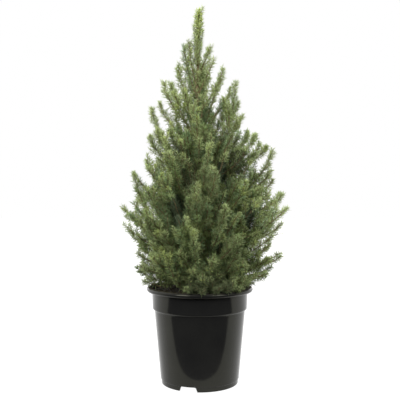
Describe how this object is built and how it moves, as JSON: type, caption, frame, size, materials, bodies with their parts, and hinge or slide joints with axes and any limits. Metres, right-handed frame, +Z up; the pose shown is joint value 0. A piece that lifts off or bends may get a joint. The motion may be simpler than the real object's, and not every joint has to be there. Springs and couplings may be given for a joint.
{
  "type": "potted dwarf spruce",
  "caption": "Young dwarf conifer with a dense pointed crown of short-needled ascending shoots, growing in soil in a round black nursery pot with a rolled lip.",
  "frame": {"origin": "middle of the pot's underside, on the surface it stands on", "axes": "+Z up along the trunk, -Y towards the front of the plant as pictured, +X to the right as seen from the front"},
  "size_m": [0.3013, 0.2775, 0.6728],
  "materials": {
    "pot": "satin moulded plastic",
    "soil": "rough, crumbly",
    "bark": "rough bark",
    "needles": "matt needles"
  },
  "bodies": {
    "root": {"bough_01": "bark", "bough_02": "bark", "bough_03": "bark", "bough_04": "bark", "bough_09": "bark", "bough_10": "bark", "bough_11": "bark", "bough_18": "bark", "bough_19": "bark", "bough_20": "bark", "bough_21": "bark", "bough_22": "bark", "bough_23": "bark", "bough_24": "bark", "bough_25": "bark", "bough_26": "bark", "bough_27": "bark", "foliage_01": "needles", "foliage_02": "needles", "foliage_03": "needles", "foliage_04": "needles", "foliage_05": "needles", "foliage_06": "needles", "foliage_07": "needles", "foliage_08": "needles", "foliage_09": "needles", "foliage_10": "needles", "foliage_11": "needles", "foliage_12": "needles", "foliage_13": "needles", "foliage_14": "needles", "foliage_15": "needles", "foliage_16": "needles", "foliage_17": "needles", "foliage_18": "needles", "foliage_19": "needles", "foliage_20": "needles", "foliage_21": "needles", "foliage_22": "needles", "foliage_23": "needles", "foliage_24": "needles", "foliage_25": "needles", "foliage_26": "needles", "foliage_27": "needles", "foliage_28": "needles", "foliage_29": "needles", "foliage_30": "needles", "foliage_31": "needles", "foliage_32": "needles", "foliage_33": "needles", "foliage_34": "needles", "foliage_35": "needles", "foliage_36": "needles", "foliage_leader": "needles", "pot": "pot", "soil": "soil", "trunk": "bark"}
  },
  "joints": []
}
